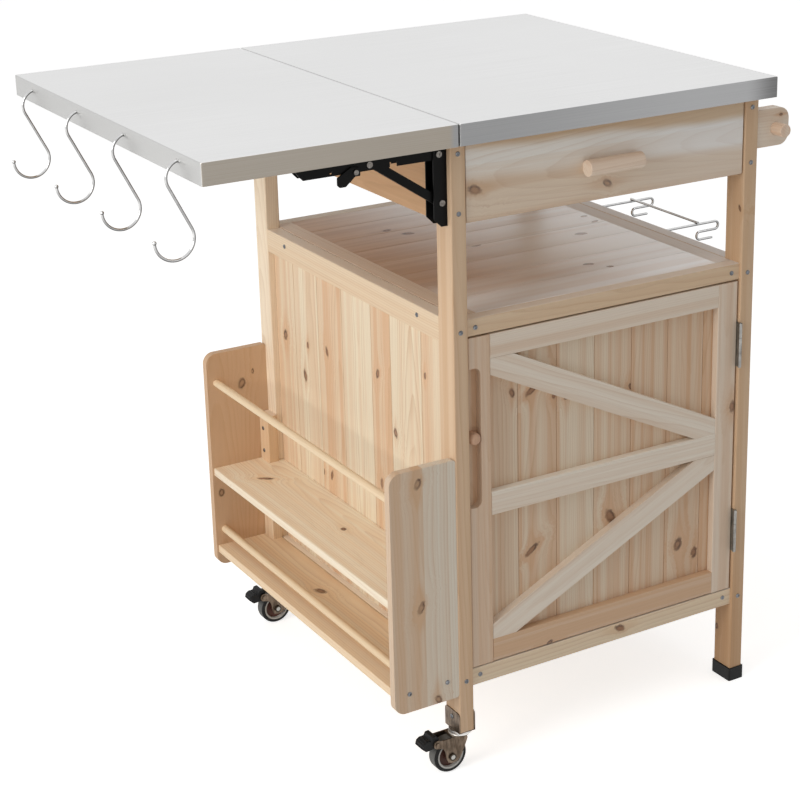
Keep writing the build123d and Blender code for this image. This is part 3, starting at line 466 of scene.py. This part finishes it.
# Painted sheen: towards the right and the front the shelf gets a coat and its colour is lightened to near
# white in streaks, standing in for the bright surround it reflects.
to_right = fade(tree, x, -0.07, 0.25, 0.0, 0.95)
to_front = fade(tree, y, -0.08, -0.25, 0.0, 0.85)
sheen_share = calc(tree, "MAXIMUM", to_right, to_front)
shader = tree.nodes["Principled BSDF"]
shader.inputs["Coat Roughness"].default_value = 0.35
shader.inputs["Coat IOR"].default_value = 2.0
tree.links.new(sheen_share, shader.inputs["Coat Weight"])
sheen_streaks = times(tree, sheen_share, fade(tree, streak, 0.4, 0.6, 0.7, 1.0))
depth = place(tree, "RGBToBW", shader.inputs["Base Color"].links[0].from_socket).outputs[0]
repaint(shelf_fir, times(tree, sheen_streaks, fade(tree, depth, 0.17, 0.3)), (0.94, 0.96, 0.98, 1))
boards("shelf_planks", "cart", shelf_fir, tones=(0.2, 0.6), knots=SHELF_KNOTS, wild=0.0)
strip_fir = fir("strip fir", pale=(0.86, 0.75, 0.63, 1), tan=(0.7, 0.53, 0.4, 1), band_depth=0.3)
tree = strip_fir.node_tree
# Painted sheen: the end strip greys towards its right end.
repaint(strip_fir, fade(tree, spot_on(tree)[0], 0.28, 0.33, 0.0, 0.7), (0.82, 0.81, 0.8, 1))
boards("shelf_end_strips", "cart", strip_fir, tones=(0.4, 0.4, 0.4), wild=0.1)
boards("floor_planks", "cart", plank_fir, wild=0.5)


# Foot caps: black plastic cups pushed over the ends of the two right legs.
# Moulded, with a fine grain.
def grain_effect():
    """The fine pebbled skin of moulded plastic, rubber or powder paint."""
    ins = (("Vector", "Vector", (0, 0, 0)), ("Scale", "Float", 900.0))
    outs = (("Pebble", "Float"), ("Patch", "Float"))
    group, got, give = effect("moulded grain", ins, outs)
    fine = place(group, "TexNoise", got["Vector"], None, got["Scale"], 2.0)
    broad = place(group, "TexNoise", got["Vector"], None, 14.0, 2.0)
    group.links.new(fine.outputs[0], give["Pebble"])
    group.links.new(broad.outputs[0], give["Patch"])
    return group


moulded_grain = grain_effect()


def dark_skin(name, deep, faded, scale, low, high, lift, shine=0.2):
    """A dark moulded or painted finish with a pebbled skin and slightly faded patches.
    low and high are the bounds of its roughness, and lift is the height of the pebbles."""
    made, tree, shader = new_finish(name)
    shader.inputs["Specular IOR Level"].default_value = shine
    at = place(tree, "TexCoord").outputs["Object"]
    skin = place(tree, "Group", at, scale, node_tree=moulded_grain).outputs
    color = tint(tree, fade(tree, skin["Patch"], 0.35, 0.7), deep, faded)
    tree.links.new(color, shader.inputs["Base Color"])
    tree.links.new(fade(tree, skin["Pebble"], 0.3, 0.7, low, high), shader.inputs["Roughness"])
    emboss(tree, skin["Pebble"], 0.4, lift)
    return made


def coat(finish, *nodes):
    """Give CAD nodes a finish."""
    for node in nodes:
        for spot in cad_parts[node].material_slots:
            spot.material = finish


cap_plastic = dark_skin("cap plastic", (0.006, 0.006, 0.006, 1), (0.014, 0.014, 0.015, 1),
                        scale=1200.0, low=0.4, high=0.6, lift=0.0001)
coat(cap_plastic, "foot_caps")


# Casters: zinc-plated angle brackets and forks under the left legs, with rubber tyres on plastic hubs.
# Each fork carries a ribbed black foot pedal that brakes its wheel.
def plate_effect():
    """The cloudy look of plated or rolled metal, with fine scratches along one way."""
    ins = (("Vector", "Vector", (0, 0, 0)), ("Cloud Scale", "Float", 25.0),
           ("Scratch Scale", "Vector", (40, 900, 900)))
    outs = (("Cloud", "Float"), ("Scratch", "Float"))
    group, got, give = effect("metal bloom", ins, outs)
    broad = place(group, "TexNoise", got["Vector"], None, got["Cloud Scale"], 3.0)
    fine = place(group, "TexNoise", stretch(group, got["Vector"], got["Scratch Scale"]), None, 1.0, 2.0)
    group.links.new(broad.outputs[0], give["Cloud"])
    group.links.new(fine.outputs[0], give["Scratch"])
    return group


metal_bloom = plate_effect()


def bare_metal(name, dark, bright, cloud_scale, scratch, low, high, lift):
    """A metal finish between two tones, with clouds, scratches and uneven gloss.
    low and high are the bounds of its roughness, and lift is the depth of the scratches."""
    made, tree, shader = new_finish(name)
    shader.inputs["Metallic"].default_value = 1.0
    at = place(tree, "TexCoord").outputs["Object"]
    skin = place(tree, "Group", at, cloud_scale, scratch, node_tree=metal_bloom).outputs
    mixed = plus(tree, times(tree, skin["Cloud"], 0.5), times(tree, skin["Scratch"], 0.5))
    tree.links.new(tint(tree, fade(tree, mixed, 0.3, 0.7), dark, bright), shader.inputs["Base Color"])
    tree.links.new(fade(tree, mixed, 0.3, 0.7, high, low), shader.inputs["Roughness"])
    emboss(tree, skin["Scratch"], 0.2, lift)
    return made


def gap_from(tree, along, middle, across, centre):
    """How far a place lies from an axis."""
    return span(tree, minus(tree, along, middle), minus(tree, across, centre))


KING_X, KING_Y = -0.0987, 0.2635
AXLE_X, AXLE_Z = -0.1197, 0.025
RACE_R, RACE_LOW, RACE_TOP = 0.017, 0.0529, 0.0585
NUT_R, BOLT_R = 0.0051, 0.003
PAINT_EDGE = 0.0002
fork_steel = bare_metal("fork steel", (0.085, 0.062, 0.044, 1), (0.24, 0.185, 0.14, 1),
                        cloud_scale=60.0, scratch=(300, 300, 60), low=0.3, high=0.5, lift=0.0001)
tree = fork_steel.node_tree
x, y, z = spot_on(tree)
# Painted highlight: a band round the swivel race is painted bright.
race = gap_from(tree, x, KING_X, calc(tree, "ABSOLUTE", y), KING_Y)
race = fade(tree, race, RACE_R + PAINT_EDGE, RACE_R - PAINT_EDGE)
race = times(tree, race, fade(tree, z, RACE_LOW - PAINT_EDGE, RACE_LOW + PAINT_EDGE))
race = times(tree, race, fade(tree, z, RACE_TOP + PAINT_EDGE, RACE_TOP - PAINT_EDGE))
repaint(fork_steel, race, (0.75, 0.75, 0.74, 1))
nut = gap_from(tree, x, AXLE_X, z, AXLE_Z)
repaint(fork_steel, fade(tree, nut, NUT_R + 0.0003, NUT_R), (0.05, 0.04, 0.03, 1))
repaint(fork_steel, fade(tree, nut, BOLT_R + 0.0004, BOLT_R), (0.4, 0.4, 0.38, 1))
coat(fork_steel, "caster_brackets", "caster_fork_front", "caster_fork_rear")

tyre_rubber = dark_skin("tyre rubber", (0.01, 0.01, 0.01, 1), (0.02, 0.02, 0.02, 1),
                        scale=700.0, low=0.5, high=0.7, lift=0.0001)
tree = tyre_rubber.node_tree
side = calc(tree, "ABSOLUTE", facing_on(tree)[1])
repaint(tyre_rubber, fade(tree, side, 0.55, 0.2), (0.13, 0.13, 0.125, 1))
coat(tyre_rubber, "caster_tyre_front", "caster_tyre_rear")

HUB_RIM_R = 0.0171
hub_plastic = dark_skin("hub plastic", (0.085, 0.034, 0.025, 1), (0.16, 0.07, 0.052, 1),
                        scale=900.0, low=0.35, high=0.5, lift=0.0001)
tree = hub_plastic.node_tree
x, _, z = spot_on(tree)
rim = fade(tree, gap_from(tree, x, AXLE_X, z, AXLE_Z), HUB_RIM_R, HUB_RIM_R + 0.0003)
repaint(hub_plastic, rim, (0.62, 0.61, 0.58, 1))
coat(hub_plastic, "caster_hub_front", "caster_hub_rear")
coat(cap_plastic, "brake_pedal_front", "brake_pedal_rear")


# Drawer: a box of thin fir sides on two runners, with a wide front and a half-round dowel as handle.
# The front is one fir board, pale sapwood in the middle, greyed further as a painted sheen, and tan towards
# both rounded edges; a painted shadow of the top's overhang darkens the upper edge and a painted sheen
# lightens the right end.
DRAWER_KNOTS = ((-0.073, -0.279, 0.807, 0.006), (0.128, -0.279, 0.786, 0.005))
PALE_BAND_LOW, PALE_BAND_TOP = 0.834, 0.856
box_fir = fir("drawer box fir", pale=(0.84, 0.66, 0.45, 1), tan=(0.74, 0.52, 0.31, 1))
front_fir = fir("drawer front fir", oil=0.5, pale=(0.91, 0.88, 0.82, 1), tan=(0.72, 0.55, 0.39, 1),
                gloss=0.1, ring_depth=0.3, heart_share=0.1, knot_wood=(0.42, 0.27, 0.16, 1))
tree = front_fir.node_tree
at = place(tree, "TexCoord").outputs["Object"]
x, _, z = place(tree, "SeparateXYZ", at).outputs
sway = place(tree, "TexNoise", stretch(tree, at, (9, 9, 9)), None, 1.0, 1.0).outputs[0]
height = calc(tree, "MULTIPLY_ADD", sway, 0.012, calc(tree, "MULTIPLY_ADD", x, 0.035, z))
# Painted sheen: the front is lightened towards the right.
repaint(front_fir, fade(tree, x, 0.08, 0.3, 0.0, 0.5), (0.94, 0.96, 0.98, 1))
below = fade(tree, height, PALE_BAND_LOW, PALE_BAND_LOW - 0.018, 0.0, 0.85)
repaint(front_fir, below, (0.8, 0.64, 0.49, 1), "MULTIPLY")
# Painted shadow of the top's overhang, together with tan wood, darkens the band along the upper edge.
above = fade(tree, height, PALE_BAND_TOP, PALE_BAND_TOP + 0.014, 0.0, 0.85)
repaint(front_fir, above, (0.68, 0.48, 0.27, 1), "MULTIPLY")
handle_fir = fir("handle fir", oil=0.4, pale=(0.92, 0.8, 0.67, 1), tan=(0.76, 0.55, 0.4, 1), ring_depth=0.4,
                 heart_share=0.2)
boards("drawer_runners", "cart", box_fir, wild=0.2)
boards("drawer_box", "drawer", box_fir, wild=0.3)
boards("drawer_bottom", "drawer", box_fir, wild=0.0)
boards("drawer_front", "drawer", front_fir, tones=(0.1, 0.14), knots=DRAWER_KNOTS, wild=0.0)
boards("drawer_handle", "drawer", handle_fir, wild=0.0)


# Door: upright planks behind a frame of flat laths with two braces that meet at the right.
# Laths are glued and pinned to the planks; a small turned knob sits in the finger cut-out.
DOOR_KNOTS = ((-0.013, -0.266, 0.523, 0.004), (0.018, -0.266, 0.521, -0.0045),
              (0.053, -0.266, 0.506, 0.003), (0.074, -0.266, 0.502, 0.005), (0.179, -0.266, 0.492, 0.004),
              (0.146, -0.266, 0.309, 0.0075), (0.016, -0.266, 0.291, -0.0045),
              (0.043, -0.266, 0.296, 0.002), (0.264, -0.266, 0.236, 0.007), (0.292, -0.266, 0.216, 0.006))
STILE_KNOTS = ((0.346, -0.278, 0.431, 0.005),)
DOOR_RAIL_KNOTS = ((0.037, -0.278, 0.151, 0.004),)
DOOR_TONES = (0.5, 0.45, 0.1, 0.4, 0.65, 0.7, 0.95)
lath_fir = fir("lath fir", oil=0.3, pale=(0.84, 0.76, 0.65, 1), tan=(0.63, 0.41, 0.25, 1),
               ring_spacing=0.0026, ring_depth=0.28, band_depth=0.3, heart_share=0.12)
door_fir = fir("door plank fir", pale=(0.78, 0.66, 0.51, 1), tan=(0.66, 0.43, 0.27, 1), ring_spacing=0.0026,
               band_depth=0.7, heart_share=0.35, edge_depth=0.1, strip_start=-0.0255, strip_change=-0.45)
boards("door_planks", "door", door_fir, tones=DOOR_TONES, knots=DOOR_KNOTS, wild=0.0)
boards("door_stiles", "door", lath_fir, tones=(0.75, 0.5, 0.5), knots=STILE_KNOTS, wild=0.0)
boards("door_rails", "door", lath_fir, tones=(1.0, 0.1, 0.33), knots=DOOR_RAIL_KNOTS, wild=0.0)
boards("door_braces", "door", lath_fir, tones=(0.2, 0.6), wild=0.0)
knob_fir = fir("knob fir", pale=(0.66, 0.42, 0.28, 1), tan=(0.54, 0.32, 0.2, 1), ring_depth=0.25,
               heart_share=0.1)
boards("door_knob", "door", knob_fir, wild=0.0)
zinc_plate = bare_metal("zinc plate", (0.17, 0.165, 0.155, 1), (0.36, 0.35, 0.33, 1),
                        cloud_scale=60.0, scratch=(300, 300, 60), low=0.25, high=0.45, lift=0.0001)
coat(zinc_plate, "hinge_leg_leaves", "hinge_door_leaves", "hinge_pins", "catch_plate")
coat(cap_plastic, "door_catch")


# Spice rack: two rounded fir ends on the left side with two shelves and two rails of dowel between them.
# Screwed to cleats on the left legs.
RACK_KNOTS = ((-0.166, -0.281, 0.436, 0.005), (-0.165, -0.281, 0.261, 0.005),
              (-0.142, -0.281, 0.121, 0.005), (-0.152, 0.269, 0.401, 0.006), (-0.137, 0.269, 0.417, 0.003),
              (-0.195, 0.269, 0.233, 0.005))
RACK_SHELF_KNOTS = ((-0.158, 0.191, 0.275, -0.004), (-0.146, -0.034, 0.275, 0.004),
                    (-0.148, 0.043, 0.148, 0.006))
rack_fir = fir("rack fir", pale=(0.76, 0.69, 0.58, 1), tan=(0.64, 0.43, 0.27, 1), band_depth=0.3,
               strip_width=0.05, strip_start=0.0, strip_change=-0.6, knot_wood=(0.42, 0.26, 0.15, 1))
# The shelves get a paler fir than the ends, partly as painted light for their lit tops.
rack_shelf_fir = fir("rack shelf fir", pale=(0.96, 0.87, 0.7, 1), tan=(0.9, 0.7, 0.48, 1))
boards("rack_ends", "cart", rack_fir, tones=(0.1, 1.2, 1.2), knots=RACK_KNOTS, wild=0.0)
boards("rack_shelves", "cart", rack_shelf_fir, tones=(0.9, 0.35, 0.35), knots=RACK_SHELF_KNOTS,
       wild=0.0)
boards("rack_cleats", "cart", rail_fir, wild=0.0)
dowel_fir = fir("dowel fir", pale=(0.89, 0.73, 0.51, 1), tan=(0.82, 0.6, 0.37, 1), ring_depth=0.25,
                heart_share=0.1)
boards("rack_dowels", "cart", dowel_fir, wild=0.0)


# Towel rail: two rounded fir arms on the right legs with a turned dowel through them.
# Next to it a bent steel wire holds a rubbish bag.
boards("towel_arms", "cart", lath_fir, wild=0.3)
boards("towel_dowel", "cart", handle_fir, wild=0.0)
LIT_SIDE_WAY = (-0.5, -0.35, 0.8)
bright_wire = bare_metal("bright wire", (0.55, 0.55, 0.55, 1), (0.75, 0.75, 0.75, 1),
                         cloud_scale=30.0, scratch=(200, 200, 200), low=0.1, high=0.22, lift=0.00005)
tree = bright_wire.node_tree
# Painted shade: faces turned away from the upper left front are painted dark, standing in for shade and
# dark reflections on the wire.
facing = place(tree, "TexCoord").outputs["Normal"]
turned = place(tree, "VectorMath", facing, LIT_SIDE_WAY, operation="DOT_PRODUCT").outputs["Value"]
repaint(bright_wire, fade(tree, turned, 0.7, 0.0), (0.1, 0.1, 0.1, 1))
coat(bright_wire, "bag_holder")


# Steel top and leaf: sheet steel folded down on all edges over a core board.
# The sheet is brushed from left to right; its corners are folded and closed.
LEAF_EDGE_X = -0.12
tray_steel, tree, shader = new_finish("brushed steel")
shader.inputs["Metallic"].default_value = 1.0
at = place(tree, "TexCoord").outputs["Object"]
skin = place(tree, "Group", at, 3.0, (4, 2200, 2200), node_tree=metal_bloom).outputs
# Painted reflection: the folded flanges are painted darker than the top by the way they face; the long
# front and back flanges darkest, darker still at the right end of the fixed top and warm grey on the leaf.
facing = facing_on(tree)
end_fold = fade(tree, calc(tree, "ABSOLUTE", facing[0]), 0.4, 0.8)
long_fold = fade(tree, calc(tree, "ABSOLUTE", facing[1]), 0.4, 0.8)
mixed = plus(tree, times(tree, skin["Cloud"], 0.3), times(tree, skin["Scratch"], 0.7))
steel = tint(tree, fade(tree, mixed, 0.3, 0.7), (0.69, 0.69, 0.688, 1), (0.74, 0.74, 0.74, 1))
ends = tint(tree, fade(tree, mixed, 0.35, 0.65), (0.53, 0.53, 0.525, 1), (0.58, 0.58, 0.57, 1))
steel = tint(tree, end_fold, steel, ends)
along = spot_on(tree)[0]
leaf_share = fade(tree, along, LEAF_EDGE_X + 0.005, LEAF_EDGE_X - 0.005)
fixed = tint(tree, fade(tree, along, -0.1, 0.3), (0.27, 0.272, 0.275, 1), (0.35, 0.352, 0.358, 1))
fixed = tint(tree, fade(tree, along, 0.33, 0.385), fixed, (0.15, 0.15, 0.15, 1))
longs = tint(tree, leaf_share, fixed, (0.315, 0.28, 0.235, 1))
longs = tint(tree, fade(tree, mixed, 0.3, 0.7, 0.0, 0.12), longs, (0.6, 0.6, 0.6, 1))
steel = tint(tree, long_fold, steel, longs)
tree.links.new(steel, shader.inputs["Base Color"])
tree.links.new(fade(tree, mixed, 0.3, 0.7, 0.44, 0.32), shader.inputs["Roughness"])
emboss(tree, skin["Scratch"], 0.15, 0.00003)
core_fir = fir("core board", pale=(0.62, 0.46, 0.3, 1), tan=(0.54, 0.38, 0.23, 1), ring_depth=0.2)
coat(tray_steel, "top_sheet", "leaf_sheet")
boards("top_core", "cart", core_fir, wild=0.0)
boards("leaf_core", "leaf", core_fir, wild=0.0)


# Folding brackets: pressed steel channels with a wall plate, an arm under the leaf, a strut and a lever.
# Powder coated black, pinned and riveted with bright steel.
powder_coat = dark_skin("powder coat", (0.003, 0.003, 0.003, 1), (0.006, 0.006, 0.006, 1),
                        scale=1500.0, low=0.35, high=0.5, lift=0.00008, shine=0.1)
coat(powder_coat, "bracket_wall_plates", "bracket_arms", "strut_front", "strut_rear", "release_lever_front",
     "release_lever_rear")
rivet_steel = bare_metal("rivet steel", (0.12, 0.11, 0.1, 1), (0.27, 0.25, 0.23, 1),
                         cloud_scale=200.0, scratch=(400, 400, 400), low=0.3, high=0.5, lift=0.00005)
coat(rivet_steel, "bracket_pins", "arm_rivets")
screw_steel = bare_metal("screw steel", (0.1, 0.105, 0.115, 1), (0.26, 0.27, 0.285, 1),
                         cloud_scale=200.0, scratch=(400, 400, 400), low=0.3, high=0.5, lift=0.00005)
coat(screw_steel, "screws")


# Hooks: four lengths of polished steel wire bent to an S and hung in holes along the leaf's end.
# Each ends in a small bead.
# The wire finish carries painted shade on the faces turned away from the upper left front.
coat(bright_wire, "hook_1", "hook_2", "hook_3", "hook_4")


# Studio: a plain white floor and a white surround with soft light from the left and above.
# The camera stands where the picture was taken from.
def shows_background(tree):
    """The share of rays that see the background itself: from the camera, a reflection or through glass."""
    light = place(tree, "LightPath").outputs
    seen = calc(tree, "MAXIMUM", light["Is Camera Ray"], light["Is Glossy Ray"])
    return calc(tree, "MAXIMUM", seen, light["Is Transmission Ray"])


bpy.ops.mesh.primitive_circle_add(vertices=96, radius=14.0, fill_type="NGON", location=(0, 0, 0))
floor = bpy.context.object
floor.name = "floor"
floor_paint, tree, shader = new_finish("floor paint")
shader.inputs["Base Color"].default_value = (0.8, 0.8, 0.8, 1)
shader.inputs["Roughness"].default_value = 0.9
shader.inputs["Specular IOR Level"].default_value = 0.1
shader.inputs["Emission Color"].default_value = (1, 1, 1, 1)
tree.links.new(times(tree, shows_background(tree), 0.66), shader.inputs["Emission Strength"])
floor.data.materials.append(floor_paint)

world = bpy.data.worlds.new("studio")
bpy.context.scene.world = world
world.use_nodes = True
tree = world.node_tree
white = tree.nodes["Background"]
white.inputs["Color"].default_value = (1, 1, 1, 1)
white.inputs["Strength"].default_value = 1.0
soft = place(tree, "Background", (1.0, 0.99, 0.98, 1), 0.4)
pick = place(tree, "MixShader", shows_background(tree), soft.outputs[0], white.outputs[0])
tree.links.new(pick.outputs[0], tree.nodes["World Output"].inputs["Surface"])


def lamp(name, spot, aim, size, power, color):
    """A square soft lamp at a spot, turned to its aim."""
    light = bpy.data.lights.new(name, "AREA")
    light.size = size
    light.energy = power
    light.color = color
    made = bpy.data.objects.new(name, light)
    made.location = spot
    made.rotation_euler = (Vector(aim) - Vector(spot)).to_track_quat("-Z", "Y").to_euler()
    bpy.context.scene.collection.objects.link(made)


lamp("left softbox", (-3.4, -0.6, 1.85), (0, 0, 0.45), size=2.0, power=70, color=(1.0, 0.98, 0.95))
lamp("top softbox", (0.4, -0.4, 3.6), (0, 0, 0.6), size=2.4, power=12, color=(1.0, 1.0, 1.0))

LENS = 88.835
SHIFT = (-0.105, -0.105)
SPOT = (-1.31328, -2.29182, 1.42579)
YAW, PITCH, ROLL = math.radians(-31.867), math.radians(-18.318), math.radians(-0.744)
ahead = Vector((-math.sin(YAW) * math.cos(PITCH), math.cos(YAW) * math.cos(PITCH), math.sin(PITCH)))
right = Vector((math.cos(YAW), math.sin(YAW), 0))
up = right.cross(ahead)
tilted_right = math.cos(ROLL) * right + math.sin(ROLL) * up
tilted_up = math.cos(ROLL) * up - math.sin(ROLL) * right
lens = bpy.data.cameras.new("camera")
lens.lens = LENS
lens.sensor_width = 36.0
lens.shift_x, lens.shift_y = SHIFT
camera = bpy.data.objects.new("camera", lens)
turn = Matrix((tilted_right, tilted_up, -ahead)).transposed().to_4x4()
camera.matrix_world = Matrix.Translation(SPOT) @ turn
bpy.context.scene.collection.objects.link(camera)
bpy.context.scene.camera = camera
bpy.context.scene.view_settings.view_transform = "Standard"
